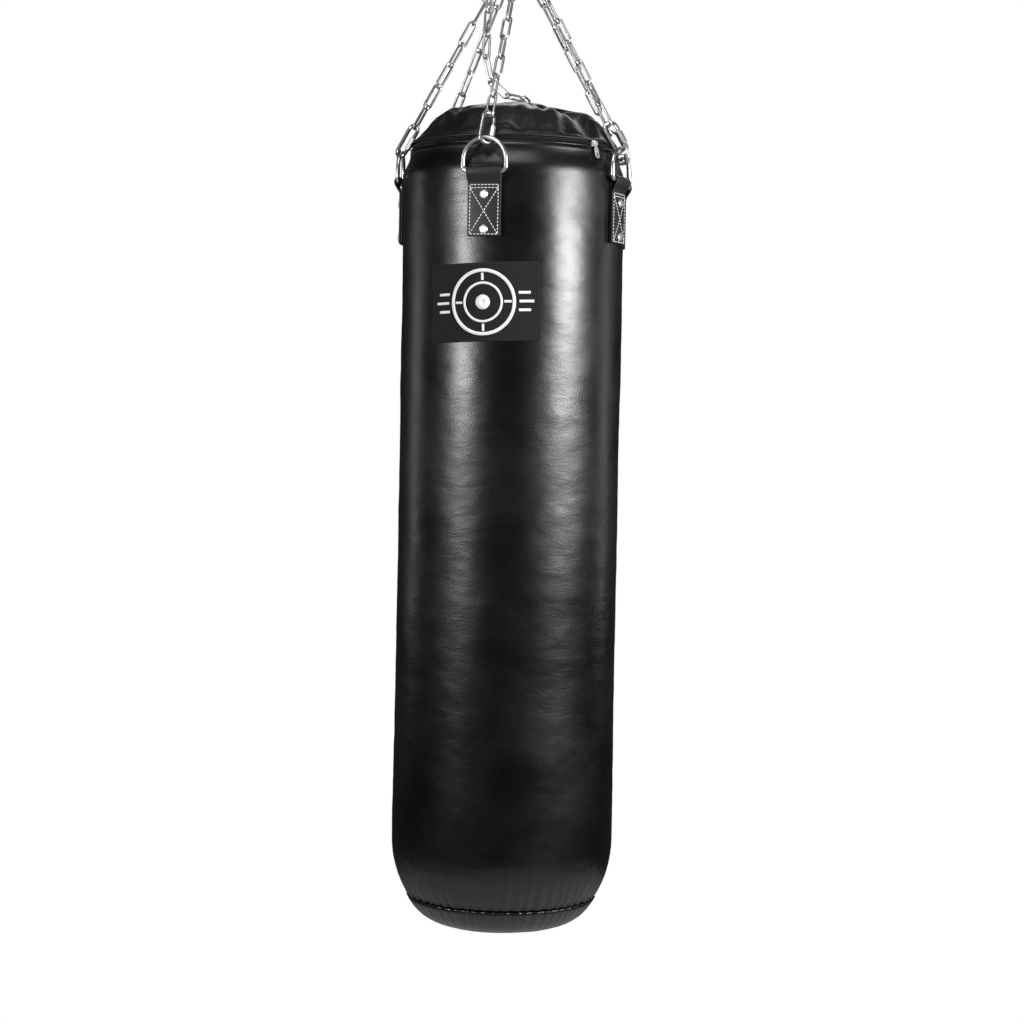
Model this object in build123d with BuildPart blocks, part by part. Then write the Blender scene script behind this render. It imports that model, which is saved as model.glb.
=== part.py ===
"""Hanging punching bag: leather bag, six straps, six chains and a ball-bearing swivel.

Frame: origin at the centre of the hanging eye's bore, +Z up, millimetres.
The front strap faces -Y. Angles round the bag start at the front strap and
grow towards +X, so a point at angle a and radius r is (r sin a, -r cos a).
"""

from build123d import *
from math import cos, radians, sin, sqrt
import os

os.makedirs("parts", exist_ok=True)

# ---------------------------------------------------------------- dimensions
# swivel and hanging eye
EYE_BORE_R = 13.0
EYE_R = 22.0
EYE_T = 10.0
NECK_R = 9.0
CUP_R = 20.0
CUP_CAVITY_R = 15.0
CUP_TOP_Z = -27.0
CUP_BOTTOM_Z = -66.0
CUP_FLOOR = 6.0
PLUG_DEPTH = 8.0
RACE_T = 3.0
RACE_R = 14.0
BALL_R = 2.48
BALL_PITCH_R = 10.8
BALL_COUNT = 12
SHANK_R = 6.0
SHANK_FIT = 0.08
SHANK_TOP_Z = -37.5
NUT_AF = 16.0
NUT_H = 9.0
SHANK_EYE_R = 18.0
SHANK_EYE_BORE_R = 10.0
SHANK_EYE_Z = -87.0

# master ring, hanging in the swivel's lower eye
RING_WIRE_R = 3.5
RING_INNER_R = 35.0
CONTACT_GAP = 0.3  # between links that hang in one another

# chain: round wire, long links
LINK_WIRE_R = 2.0
LINK_INNER = 38.175
LINK_WIDTH = 16.0
LINK_PITCH = LINK_INNER - CONTACT_GAP
LINKS = 8
SLACK_LINKS = 12
SLACK_OVERHANG = 2.3  # from a slack joint to the middle of a link's bow
SLACK_RISE = 12.5  # how far the slack chain's first joint sits over the ring's wire

# quick link with its sleeve nut
QL_WIRE_R = 3.0
QL_LENGTH = 60.0
QL_WIDTH = 26.0
QL_GATE = (-11.0, -4.0)  # gap in the sleeve's leg, from the link's centre
SLEEVE_LENGTH = 20.0
SLEEVE_REST = -12.5  # the sleeve's lower end, from the link's centre
SLEEVE_AF = 8.4
SLEEVE_BORE_FIT = 0.08

# D-ring
D_WIRE_R = 3.25
D_WIDTH = 73.0
D_HEIGHT = 56.5
D_CORNER_R = 8.0
D_GAP = 2.2  # under the arch, so that the ring can rock a little
LOOP_GAP = 1.2  # round the straight bar inside the strap's curved loop
BAR_INSET = 0.9  # the bar's middle from the loop's middle, towards the bag
ARCH_R = 178.5

# leather bag, heights below the rim
BAG_R = 173.0
BAG_LOW_R = 174.5
RIM_R = 163.0
LEATHER = 3.0
RIM_EDGE = 5.0
NECK_DEPTH = 12.0
SHOULDER_DEPTH = 45.0
CORNER_DEPTH = 1080.0
SEAM_DEPTH = 1171.0
SEAM_R = 150.0
BAG_HEIGHT = 1220.0
CAP_HEIGHT = 75.0
CAP_T = 2.5
DENT_R = 15.2

# straps and rivets
STRAP_T = 3.0
STRAP_WIDTH = 50.0
STRAP_DEPTH = 148.0
RIVET_HEAD_R = 6.5
RIVET_R = 2.5
RIVET_DEPTHS = (86.0, 138.0)

# zip round the rim
ZIP_TEETH_R = 161.0
ZIP_TAPE_R = 157.4
ZIP_ANGLE = 62.0

# padding
LINER_R = 168.0
LINER_T = 1.5
FOAM_T = 15.0

# label patch
LABEL_WIDTH = 175.0
LABEL_HEIGHT = 118.0
LABEL_T = 1.5
LABEL_DEPTH = 243.0

# strand name: (angle round the bag, place on the master ring, quick link's roll)
STRANDS = {
    "front": (0.0, 0.0, -50.0),
    "right": (80.0, 25.0, 50.0),
    "back_right": (120.0, 13.0, -50.0),
    "back": (180.0, -64.0, -50.0),
    "back_left": (-120.0, -13.0, 50.0),
    "left": (-80.0, -25.0, -50.0),
}

# ------------------------------------------------------------ worked-out sizes
RING_R = RING_INNER_R + RING_WIRE_R
RING_TOP_Z = SHANK_EYE_Z - SHANK_EYE_BORE_R + RING_WIRE_R + CONTACT_GAP
RING_Z = RING_TOP_Z - RING_R
LINK_TIP = LINK_INNER / 2 + LINK_WIRE_R
LINK_BOW_R = LINK_WIDTH / 2 - LINK_WIRE_R
QL_TIP = QL_LENGTH / 2 - QL_WIRE_R
QL_BOW_R = QL_WIDTH / 2 - QL_WIRE_R
RING_TO_LINK = LINK_TIP - RING_WIRE_R - LINK_WIRE_R - CONTACT_GAP
LINK_TO_QL = LINK_TIP - LINK_WIRE_R - QL_WIRE_R - CONTACT_GAP + QL_TIP
QL_TO_ARCH = QL_TIP - QL_WIRE_R - D_WIRE_R - D_GAP
STRAND_LENGTH = RING_TO_LINK + (LINKS - 1) * LINK_PITCH + LINK_TO_QL + QL_TO_ARCH
ARCH_Z = RING_Z - RING_R - sqrt(STRAND_LENGTH**2 - ARCH_R**2)
RIM_Z = ARCH_Z + 2.0
LOOP_R = BAG_R + STRAP_T + D_WIRE_R + LOOP_GAP + 0.15
BAR_R = LOOP_R - BAR_INSET
BAR_Z = ARCH_Z - (D_HEIGHT - 2 * D_WIRE_R)
BOTTOM_Z = RIM_Z - BAG_HEIGHT


def below(depth):
    """Height of a point the given depth under the rim."""
    return RIM_Z - depth


def round_bag(radius, angle, z):
    """Point at a radius and an angle round the bag's axis."""
    return Vector(radius * sin(radians(angle)), -radius * cos(radians(angle)), z)


def outward(angle):
    """Unit vector away from the bag's axis."""
    return Vector(sin(radians(angle)), -cos(radians(angle)), 0)


def sideways(angle):
    """Unit vector along the bag's surface, towards growing angles."""
    return Vector(cos(radians(angle)), sin(radians(angle)), 0)


def radial_plane(angle, depth, radius):
    """Plane square to the bag's surface normal, its local Y straight up."""
    return Plane(round_bag(radius, angle, below(depth)), sideways(angle), outward(angle))


def section_plane(angle=0.0):
    """Plane through the bag's axis: local X outwards, local Y up."""
    return Plane((0, 0, 0), outward(angle), -sideways(angle))


def rolled(direction, angle, roll):
    """Sideways direction across a strand, turned by roll about the strand."""
    flat = sideways(angle)
    across = (flat - direction * flat.dot(direction)).normalized()
    return (across * cos(radians(roll)) + direction.cross(across) * sin(radians(roll))).normalized()


def write(part, name):
    """Label a finished piece and write it to its own file."""
    part.label = name
    export_step(part, f"parts/{name}.step")


# ------------------------------------------------------------- swivel assembly
def hanging_eye():
    """Forged eye on a threaded plug that closes the swivel's cup."""
    with BuildPart() as eye:
        with BuildSketch(Plane.XZ.offset(-EYE_T / 2)):
            Circle(EYE_R)
        extrude(amount=EYE_T)
        fillet(eye.edges().filter_by(GeomType.CIRCLE), 2.0)
        with BuildSketch(Plane.XY.offset(CUP_TOP_Z - PLUG_DEPTH)):
            Circle(CUP_CAVITY_R - 0.05)
        extrude(amount=PLUG_DEPTH)
        with BuildSketch(Plane.XY.offset(CUP_TOP_Z)):
            Circle(NECK_R)
        extrude(amount=-CUP_TOP_Z - EYE_BORE_R - 1)
        with BuildSketch(Plane.XZ.offset(-EYE_T)):
            Circle(EYE_BORE_R)
        extrude(amount=2 * EYE_T, mode=Mode.SUBTRACT)
    write(eye.part, "hanging_eye")


def swivel_cup():
    """Round housing with a bushing hole in its floor."""
    with BuildPart() as cup:
        with BuildSketch(Plane.XY.offset(CUP_BOTTOM_Z)):
            Circle(CUP_R)
        extrude(amount=CUP_TOP_Z - CUP_BOTTOM_Z)
        fillet(cup.edges().group_by(Axis.Z)[0], 3.0)
        chamfer(cup.edges().group_by(Axis.Z)[-1], 1.2)
        with BuildSketch(Plane.XY.offset(CUP_BOTTOM_Z + CUP_FLOOR)):
            Circle(CUP_CAVITY_R)
        extrude(amount=CUP_TOP_Z - CUP_BOTTOM_Z, mode=Mode.SUBTRACT)
        with BuildSketch(Plane.XY.offset(CUP_BOTTOM_Z - 1)):
            Circle(SHANK_R + SHANK_FIT)
        extrude(amount=CUP_FLOOR + 2, mode=Mode.SUBTRACT)
    write(cup.part, "swivel_cup")


def bearing():
    """Thrust bearing: lower race, a ring of balls and the upper race."""
    floor = CUP_BOTTOM_Z + CUP_FLOOR
    ball_z = floor + RACE_T + 2.5
    for name, base, hole in (
        ("bearing_race_lower", floor, SHANK_R + 1.2),
        ("bearing_race_upper", floor + RACE_T + 5.0, SHANK_R + 0.3),
    ):
        with BuildPart() as race:
            with BuildSketch(Plane.XY.offset(base)):
                Circle(RACE_R)
                Circle(hole, mode=Mode.SUBTRACT)
            extrude(amount=RACE_T)
            chamfer(race.edges().filter_by(GeomType.CIRCLE).group_by(SortBy.LENGTH)[-1], 0.4)
        write(race.part, name)
    with BuildPart() as balls:
        with Locations((0, 0, ball_z)):
            with PolarLocations(BALL_PITCH_R, BALL_COUNT):
                Sphere(BALL_R)
    write(balls.part, "bearing_balls")


def swivel_shank():
    """Turning shank with the lower eye that the master ring hangs in."""
    nut_z = CUP_BOTTOM_Z + CUP_FLOOR + 2 * RACE_T + 5.0
    with BuildPart() as shank:
        with BuildSketch(Plane.YZ.offset(-EYE_T / 2)):
            with Locations((0, SHANK_EYE_Z)):
                Circle(SHANK_EYE_R)
                Circle(SHANK_EYE_BORE_R, mode=Mode.SUBTRACT)
        extrude(amount=EYE_T)
        fillet(shank.edges().filter_by(GeomType.CIRCLE).group_by(SortBy.LENGTH)[0], 3.5)
        fillet(shank.edges().filter_by(GeomType.CIRCLE).group_by(SortBy.LENGTH)[-1], 2.0)
        with BuildSketch(Plane.XY.offset(SHANK_EYE_Z + SHANK_EYE_BORE_R + 1.5)):
            Circle(SHANK_R)
        extrude(amount=SHANK_TOP_Z - SHANK_EYE_Z - SHANK_EYE_BORE_R - 1.5)
        chamfer(shank.edges().group_by(Axis.Z)[-1], 1.0)
    write(shank.part, "swivel_shank")
    with BuildPart() as nut:
        with BuildSketch(Plane.XY.offset(nut_z)):
            RegularPolygon(NUT_AF / 2, 6, major_radius=False)
            Circle(SHANK_R, mode=Mode.SUBTRACT)
        extrude(amount=NUT_H)
    write(nut.part, "shank_nut")


def master_ring():
    """Welded ring, its plane across the lower eye's bore."""
    with BuildPart() as ring:
        with Locations(Plane((0, 0, RING_Z), x_dir=(1, 0, 0), z_dir=(0, -1, 0))):
            Torus(RING_R, RING_WIRE_R)
    write(ring.part, "master_ring")


# ------------------------------------------------------------ chains and links
def wire_loop(tip, bow_r, wire_r):
    """Long round-wire link, its length along X, lying in XY."""
    straight = tip - bow_r
    with BuildPart() as loop:
        with BuildLine():
            Line((-straight, -bow_r), (straight, -bow_r))
            ThreePointArc((straight, -bow_r), (tip, 0), (straight, bow_r))
            Line((straight, bow_r), (-straight, bow_r))
            ThreePointArc((-straight, bow_r), (-tip, 0), (-straight, -bow_r))
        with BuildSketch(Plane((-straight, -bow_r, 0), z_dir=(1, 0, 0))):
            Circle(wire_r)
        sweep()
    return loop.part


def ring_point(place):
    """Centre of the master ring's wire at an angle from its lowest point."""
    return Vector(RING_R * sin(radians(place)), 0, RING_Z - RING_R * cos(radians(place)))


def strand(name):
    """Ring joint, arch joint, unit direction and roll of a strand."""
    angle, place, roll = STRANDS[name]
    top = ring_point(place)
    arch = round_bag(ARCH_R, angle, ARCH_Z)
    return top, arch, (arch - top).normalized(), roll


def slack_quick_link():
    """Arch joint and direction of the slack strand's quick link, which leans on the cap."""
    arch = round_bag(ARCH_R, STRANDS["back"][0], ARCH_Z)
    return arch, Vector(0, sin(radians(31)), -cos(radians(31)))


def quick_link_pose(name):
    """Centre, direction and sideways direction of a strand's quick link."""
    angle = STRANDS[name][0]
    if name == "back":
        arch, direction = slack_quick_link()
        roll = STRANDS[name][2]
    else:
        _, arch, direction, roll = strand(name)
    return arch - direction * QL_TO_ARCH, direction, rolled(direction, angle, roll)


def alternate_rolls(first, last, count):
    """Quarter turns from link to link, with the leftover spread as a slight twist."""
    twist = (last - first - 90 * (count - 1) + 90) % 180 - 90
    return [first + 90 * i + twist * i / (count - 1) for i in range(count)]


def tight_chain(name, link):
    """Links in line from the master ring to the quick link."""
    angle = STRANDS[name][0]
    top, arch, direction, roll = strand(name)
    pitch = ((arch - top).length - RING_TO_LINK - LINK_TO_QL - QL_TO_ARCH) / (LINKS - 1)
    ring_wire = sideways(0) if name == "front" else (ring_point(STRANDS[name][1] + 1) - top).normalized()
    across = direction.cross(ring_wire).normalized()
    flat = rolled(direction, angle, 0)
    first = flat.get_signed_angle(across, direction)
    places = []
    for i, turn in enumerate(alternate_rolls(first, roll + 65, LINKS)):
        centre = top + direction * (RING_TO_LINK + i * pitch)
        side = rolled(direction, angle, turn)
        places.append(Plane(centre, x_dir=direction, z_dir=direction.cross(side)).location)
    with BuildPart() as chain:
        with Locations(*places):
            add(link)
    write(chain.part, f"chain_{name}")


def slack_route():
    """Curve of the slack chain: down beside the left strand, then back over the cap."""
    cap = RIM_Z + CAP_HEIGHT
    hook = ring_point(STRANDS["back"][1])
    lean = Vector(-0.17, -0.22, -1).normalized()
    arch, direction = slack_quick_link()
    end = arch - direction * (QL_TO_ARCH + LINK_TO_QL - LINK_TIP + SLACK_OVERHANG)
    with BuildLine() as route:
        Spline(
            hook - lean * SLACK_RISE,
            hook + lean * 28,
            hook + Vector(-6, -17, -60),
            hook + Vector(-6, -28, -130),
            (-33, -37, cap + 36),
            (-19, -23, cap + 13),
            (1, 3, cap + 9),
            (4, 46, cap + 8.5),
            (3, 90, cap + 2),
            (0, 126, cap - 10),
            end,
        )
    return route.edges()[0]


def slack_chain(link):
    """Links that follow the slack route, each turned a quarter from the last."""
    route = slack_route()
    steps = 4000
    points = [route @ (i / steps) for i in range(steps + 1)]

    def walk(pitch):
        joints = [points[0]]
        for point in points:
            if (point - joints[-1]).length >= pitch:
                joints.append(point)
        return joints

    low, high = LINK_PITCH - 6.0, LINK_PITCH + 2.0
    for _ in range(30):
        pitch = (low + high) / 2
        joints = walk(pitch)
        if len(joints) - 1 >= SLACK_LINKS:
            low = pitch
        else:
            high = pitch
    joints = walk(low)[: SLACK_LINKS + 1]
    print(f"slack chain: {len(joints) - 1} links, pitch {low:.2f} of {LINK_PITCH}")
    places = []
    for i, (start, end) in enumerate(zip(joints, joints[1:])):
        along = (end - start).normalized()
        centre = (start + end) / 2
        up = Vector(0, 0, 1) if abs(along.Z) < 0.8 else Vector(0, 1, 0)
        side = along.cross(up).normalized()
        turn = radians(90 * i + 45 * min(1, i / 5))
        normal = side * cos(turn) + along.cross(side) * sin(turn)
        places.append(Plane(centre, x_dir=along, z_dir=normal).location)
    with BuildPart() as chain:
        with Locations(*places):
            add(link)
    write(chain.part, "chain_back")


def quick_links():
    """Quick links with a gate gap in one leg, and the sleeve nuts that close them."""
    loop = wire_loop(QL_TIP, QL_BOW_R, QL_WIRE_R)
    with BuildPart() as gated:
        add(loop)
        with Locations(((QL_GATE[0] + QL_GATE[1]) / 2, QL_BOW_R, 0)):
            Box(QL_GATE[1] - QL_GATE[0], 3 * QL_WIRE_R, 3 * QL_WIRE_R, mode=Mode.SUBTRACT)
    with BuildPart() as sleeve:
        with BuildSketch(Plane((SLEEVE_REST, QL_BOW_R, 0), z_dir=(1, 0, 0))):
            RegularPolygon(SLEEVE_AF / 2, 6, major_radius=False)
        extrude(amount=SLEEVE_LENGTH)
        chamfer(sleeve.edges().group_by(Axis.X)[0], 0.5)
        chamfer(sleeve.edges().group_by(Axis.X)[-1], 0.5)
        with BuildSketch(Plane((SLEEVE_REST - 1, QL_BOW_R, 0), z_dir=(1, 0, 0))):
            Circle(QL_WIRE_R + SLEEVE_BORE_FIT)
        extrude(amount=SLEEVE_LENGTH + 2, mode=Mode.SUBTRACT)
    for name in STRANDS:
        centre, direction, side = quick_link_pose(name)
        place = Plane(centre, x_dir=-direction, z_dir=(-direction).cross(side)).location
        with BuildPart() as link:
            with Locations(place):
                add(gated.part)
        write(link.part, f"quick_link_{name}")
        with BuildPart() as nut:
            with Locations(place):
                add(sleeve.part)
        write(nut.part, f"link_sleeve_{name}")


def d_rings():
    """D-rings: a straight bar in the strap's loop and a round arch above it."""
    half = D_WIDTH / 2 - D_WIRE_R
    top = D_HEIGHT - 2 * D_WIRE_R
    spring = top - half
    c = D_CORNER_R
    q = c * (1 - sqrt(0.5))
    with BuildPart() as ring:
        with BuildLine():
            Line((0, 0), (half - c, 0))
            ThreePointArc((half - c, 0), (half - q, q), (half, c))
            Line((half, c), (half, spring))
            ThreePointArc((half, spring), (0, top), (-half, spring))
            Line((-half, spring), (-half, c))
            ThreePointArc((-half, c), (-half + q, q), (-half + c, 0))
            Line((-half + c, 0), (0, 0))
        with BuildSketch(Plane((0, 0, 0), z_dir=(1, 0, 0))):
            Circle(D_WIRE_R)
        sweep()
    for name, (angle, _, _) in STRANDS.items():
        bar = round_bag(BAR_R, angle, BAR_Z)
        arch = round_bag(ARCH_R, angle, ARCH_Z)
        up = (arch - bar).normalized()
        with BuildPart() as placed:
            with Locations(Plane(bar, sideways(angle), sideways(angle).cross(up)).location):
                add(ring.part)
        write(placed.part, f"d_ring_{name}")


# --------------------------------------------------------------------- leather
def dents(radius):
    """Rods along the quick links: where they press on the soft top."""
    with BuildPart() as rods:
        for name in STRANDS:
            centre, direction, _ = quick_link_pose(name)
            start = centre + direction * (QL_TIP + 14)
            with BuildSketch(Plane(start, z_dir=-direction)):
                Circle(radius)
            extrude(amount=2 * QL_TIP + 24)
    return rods.part


def leather_shell():
    """Round leather wall: narrow rim, straight sides, rounded foot."""
    corner = (BAG_LOW_R - 10.5, below(CORNER_DEPTH + 60))
    inner_corner = (corner[0] - LEATHER * 0.97, corner[1] + LEATHER * 0.25)
    with BuildPart() as shell:
        with BuildSketch(Plane.XZ):
            with BuildLine():
                outer = Polyline((RIM_R, below(RIM_EDGE)), (RIM_R, below(NECK_DEPTH)))
                shoulder = Spline(
                    outer @ 1,
                    (BAG_R - 3.4, below(29)),
                    (BAG_R, below(SHOULDER_DEPTH)),
                    tangents=[(0, -1), (0, -1)],
                )
                side = Line(shoulder @ 1, (BAG_LOW_R, below(CORNER_DEPTH)))
                foot = ThreePointArc(side @ 1, corner, (SEAM_R, below(SEAM_DEPTH)))
                edge = Line(foot @ 1, (SEAM_R - 2.4, below(SEAM_DEPTH - 1.8)))
                inner_foot = ThreePointArc(
                    edge @ 1, inner_corner, (BAG_LOW_R - LEATHER, below(CORNER_DEPTH))
                )
                inner_side = Line(inner_foot @ 1, (BAG_R - LEATHER, below(SHOULDER_DEPTH)))
                inner_shoulder = Spline(
                    inner_side @ 1,
                    (BAG_R - 3.4 - LEATHER, below(30)),
                    (RIM_R - LEATHER, below(NECK_DEPTH + 1)),
                    tangents=[(0, 1), (0, 1)],
                )
                Polyline(inner_shoulder @ 1, (RIM_R - LEATHER, below(RIM_EDGE)), outer @ 0)
            make_face()
        revolve(axis=Axis.Z)
        for angle, _, _ in STRANDS.values():
            for depth in RIVET_DEPTHS:
                with BuildSketch(radial_plane(angle, depth, BAG_R - 2 * LEATHER)):
                    Circle(RIVET_R + 0.1)
                extrude(amount=4 * LEATHER, mode=Mode.SUBTRACT)
    write(shell.part, "leather_shell")


def base_panel():
    """Dished round panel sewn into the foot of the bag."""
    with BuildPart() as panel:
        with BuildSketch(Plane.XZ):
            with BuildLine():
                bowl = Spline(
                    (SEAM_R, below(SEAM_DEPTH)),
                    (110, below(1203)),
                    (0, BOTTOM_Z),
                    tangents=[(-0.6, -0.8), (-1, 0)],
                )
                rise = Line(bowl @ 1, (0, BOTTOM_Z + LEATHER))
                inside = Spline(
                    rise @ 1,
                    (108, below(1200.2)),
                    (SEAM_R - 2.4, below(SEAM_DEPTH - 1.8)),
                    tangents=[(1, 0), (0.6, 0.8)],
                )
                Line(inside @ 1, bowl @ 0)
            make_face()
        revolve(axis=Axis.Z)
    write(panel.part, "base_panel")


def cap_profile(inset):
    """Half section of the domed cap, filled down to its lower edge."""
    low = RIM_Z + RIM_EDGE
    with BuildSketch(Plane.XZ) as profile:
        with BuildLine():
            skirt = Line((0, low), (RIM_R - inset, low))
            dome = Spline(
                skirt @ 1,
                (152 - inset * 0.85, RIM_Z + 20 - inset * 0.5),
                (134 - inset * 0.75, RIM_Z + 48 - inset * 0.65),
                (108 - inset * 0.3, RIM_Z + 62.5 - inset),
                (55, RIM_Z + 70.5 - inset),
                (0, RIM_Z + CAP_HEIGHT - inset),
                tangents=[(-0.35, 1), (-1, 0)],
            )
            Line(dome @ 1, skirt @ 0)
        make_face()
    return profile.sketch


def top_cap():
    """Soft domed cap, pressed in a little under each quick link."""
    with BuildPart() as hollow:
        add(cap_profile(CAP_T))
        revolve(axis=Axis.Z)
        add(dents(DENT_R + CAP_T), mode=Mode.SUBTRACT)
    with BuildPart() as cap:
        add(cap_profile(0))
        revolve(axis=Axis.Z)
        add(dents(DENT_R), mode=Mode.SUBTRACT)
        add(hollow.part, mode=Mode.SUBTRACT)
    write(cap.part, "top_cap")


def label_patch():
    """Plain sewn patch on the front, curved with the bag."""
    half_angle = 90 * LABEL_WIDTH / (BAG_R * 3.14159)
    mid = BAG_R + (BAG_LOW_R - BAG_R) * (LABEL_DEPTH - SHOULDER_DEPTH) / (CORNER_DEPTH - SHOULDER_DEPTH)
    with BuildPart() as patch:
        with BuildSketch(section_plane(-half_angle)):
            with Locations((mid + 0.15 + LABEL_T / 2, below(LABEL_DEPTH))):
                Rectangle(LABEL_T, LABEL_HEIGHT)
        revolve(axis=Axis.Z, revolution_arc=2 * half_angle)
    write(patch.part, "label_patch")


def straps():
    """Leather straps folded round the D-ring bars, riveted through the wall."""
    half_angle = 90 * STRAP_WIDTH / (BAG_R * 3.14159)
    inner = BAG_R + 0.15 + STRAP_T / 2
    loop_r = LOOP_R - inner
    outer = inner + STRAP_T + 0.05
    end_z = below(STRAP_DEPTH)
    for name, (angle, _, _) in STRANDS.items():
        with BuildPart() as strap:
            with BuildSketch(section_plane(angle - half_angle)):
                with BuildLine():
                    back = Line((inner, end_z), (inner, BAR_Z))
                    fold = ThreePointArc(back @ 1, (LOOP_R, BAR_Z + loop_r), (LOOP_R + loop_r, BAR_Z))
                    FilletPolyline(
                        fold @ 1,
                        (LOOP_R + loop_r, BAR_Z - 5),
                        (outer, BAR_Z - 22),
                        (outer, end_z),
                        radius=8,
                    )
                trace(line_width=STRAP_T)
            revolve(axis=Axis.Z, revolution_arc=2 * half_angle)
            for depth in RIVET_DEPTHS:
                with BuildSketch(radial_plane(angle, depth, BAG_R - LEATHER)):
                    Circle(RIVET_R + 0.1)
                extrude(amount=5 * LEATHER, mode=Mode.SUBTRACT)
        write(strap.part, f"strap_{name}")


def rivets():
    """Dome-headed rivets through the straps, with washers inside the wall."""
    seat = BAG_R + 0.3 + 2 * STRAP_T
    tail = BAG_R - LEATHER - 1.6
    places = [(angle, depth) for angle, _, _ in STRANDS.values() for depth in RIVET_DEPTHS]
    with BuildPart() as heads:
        for angle, depth in places:
            with BuildSketch(radial_plane(angle, depth, seat)):
                Circle(RIVET_HEAD_R)
            extrude(amount=0.8)
            with BuildSketch(radial_plane(angle, depth, seat + 0.8)):
                Circle(RIVET_HEAD_R)
            extrude(amount=1.8, taper=42)
            with BuildSketch(radial_plane(angle, depth, tail)):
                Circle(RIVET_R)
            extrude(amount=seat - tail)
    write(heads.part, "strap_rivets")
    with BuildPart() as washers:
        for angle, depth in places:
            with BuildSketch(radial_plane(angle, depth, tail)):
                Circle(RIVET_HEAD_R - 1)
                Circle(RIVET_R + 0.02, mode=Mode.SUBTRACT)
            extrude(amount=1.2)
    write(washers.part, "rivet_washers")


# ------------------------------------------------------------------------- zip
def zip_ring():
    """Zip round the rim: its tape inside and the closed row of teeth."""
    for name, outer, width, low, high in (
        ("zip_tape", ZIP_TAPE_R, 1.4, 16.0, -4.6),
        ("zip_teeth", ZIP_TEETH_R, ZIP_TEETH_R - ZIP_TAPE_R, 3.0, -3.0),
    ):
        with BuildPart() as band:
            with BuildSketch(Plane.XZ):
                with Locations((outer - width / 2, below((low + high) / 2))):
                    Rectangle(width, low - high)
            revolve(axis=Axis.Z)
        write(band.part, name)


def zip_slider():
    """Zip slider on the teeth, with the bridge that its pull hangs from."""
    body = radial_plane(ZIP_ANGLE, 0, ZIP_TEETH_R + 0.35)
    with BuildPart() as slider:
        with BuildSketch(body):
            RectangleRounded(11, 9, 2.2)
        extrude(amount=2.0)
        with BuildSketch(body.offset(2.0)):
            with Locations((-3.4, 0), (3.4, 0)):
                Rectangle(1.4, 5)
        extrude(amount=3.2)
        with BuildSketch(Plane(body.origin + outward(ZIP_ANGLE) * 4.2 - sideways(ZIP_ANGLE) * 4, z_dir=sideways(ZIP_ANGLE))):
            Circle(0.7)
        extrude(amount=8)
    write(slider.part, "zip_slider")


def zip_pull():
    """Flat pull tab whose small barrel turns on the slider's bridge."""
    pivot = round_bag(ZIP_TEETH_R + 0.35 + 4.2, ZIP_ANGLE, RIM_Z)
    across = sideways(ZIP_ANGLE)
    lean = radians(14)
    down = outward(ZIP_ANGLE) * sin(lean) - Vector(0, 0, cos(lean))
    face = Plane(pivot, x_dir=down, z_dir=across.cross(down)).offset(-0.65)
    with BuildPart() as pull:
        with BuildSketch(face):
            with Locations((4, 0)):
                Rectangle(8, 4.6)
            with Locations((14.5, 0)):
                RectangleRounded(17, 8, 2.5)
            with Locations((18, 0)):
                RectangleRounded(6, 3.6, 1.2, mode=Mode.SUBTRACT)
        extrude(amount=1.3)
        with BuildSketch(Plane(pivot - across * 2.3, z_dir=across)):
            Circle(1.7)
        extrude(amount=4.6)
        with BuildSketch(Plane(pivot - across * 3, z_dir=across)):
            Circle(0.8)
        extrude(amount=6, mode=Mode.SUBTRACT)
    write(pull.part, "zip_pull")


# --------------------------------------------------------------------- padding
def padding():
    """Liner, foam, packed filling and the two round pads inside the leather."""
    foam_r = LINER_R - LINER_T - 0.2
    core_r = foam_r - FOAM_T - 0.2
    for name, outer, inner, top, bottom in (
        ("liner", LINER_R, LINER_R - LINER_T, 50, 1085),
        ("foam_wrap", foam_r, foam_r - FOAM_T, 50, 1085),
        ("filling", core_r, 0, 50, 1140),
        ("top_pad", 155, 0, 17, 49),
    ):
        with BuildPart() as layer:
            with BuildSketch(Plane.XY.offset(below(bottom))):
                Circle(outer)
                if inner:
                    Circle(inner, mode=Mode.SUBTRACT)
            extrude(amount=bottom - top)
        write(layer.part, name)
    with BuildPart() as pad:
        with BuildSketch(Plane.XZ):
            with BuildLine():
                top = Line((0, below(1142)), (core_r, below(1142)))
                drop = Line(top @ 1, (core_r - 8, below(1164)))
                under = Spline(
                    drop @ 1, (100, below(1197)), (0, below(1214)), tangents=[(-0.5, -0.8), (-1, 0)]
                )
                Line(under @ 1, top @ 0)
            make_face()
        revolve(axis=Axis.Z)
    write(pad.part, "base_pad")


# -------------------------------------------------------------------- assembly
hanging_eye()
swivel_cup()
bearing()
swivel_shank()
master_ring()
CHAIN_LINK = wire_loop(LINK_TIP, LINK_BOW_R, LINK_WIRE_R)
for strand_name in STRANDS:
    if strand_name != "back":
        tight_chain(strand_name, CHAIN_LINK)
slack_chain(CHAIN_LINK)
quick_links()
d_rings()
leather_shell()
base_panel()
top_cap()
label_patch()
straps()
rivets()
zip_ring()
zip_slider()
zip_pull()
padding()
print(f"rim {RIM_Z:.1f}, bottom {BOTTOM_Z:.1f}, strand {STRAND_LENGTH:.1f}")
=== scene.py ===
# %% [markdown]
# # A hanging heavy bag
# The metal parts come ready from the CAD frame. What this lesson makes is everything soft: the leather wall, the
# domed cap, the base, six folded straps, the sewn patch and all the stitching. Each piece is built on one shared
# description of the bag's surface, so nothing floats over the leather and nothing sinks into it.

# %% Frame
from math import atan2, cos, degrees, exp, hypot, pi, radians, sin, sqrt

import bmesh
import bpy
from mathutils import Matrix, Vector, noise


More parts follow.
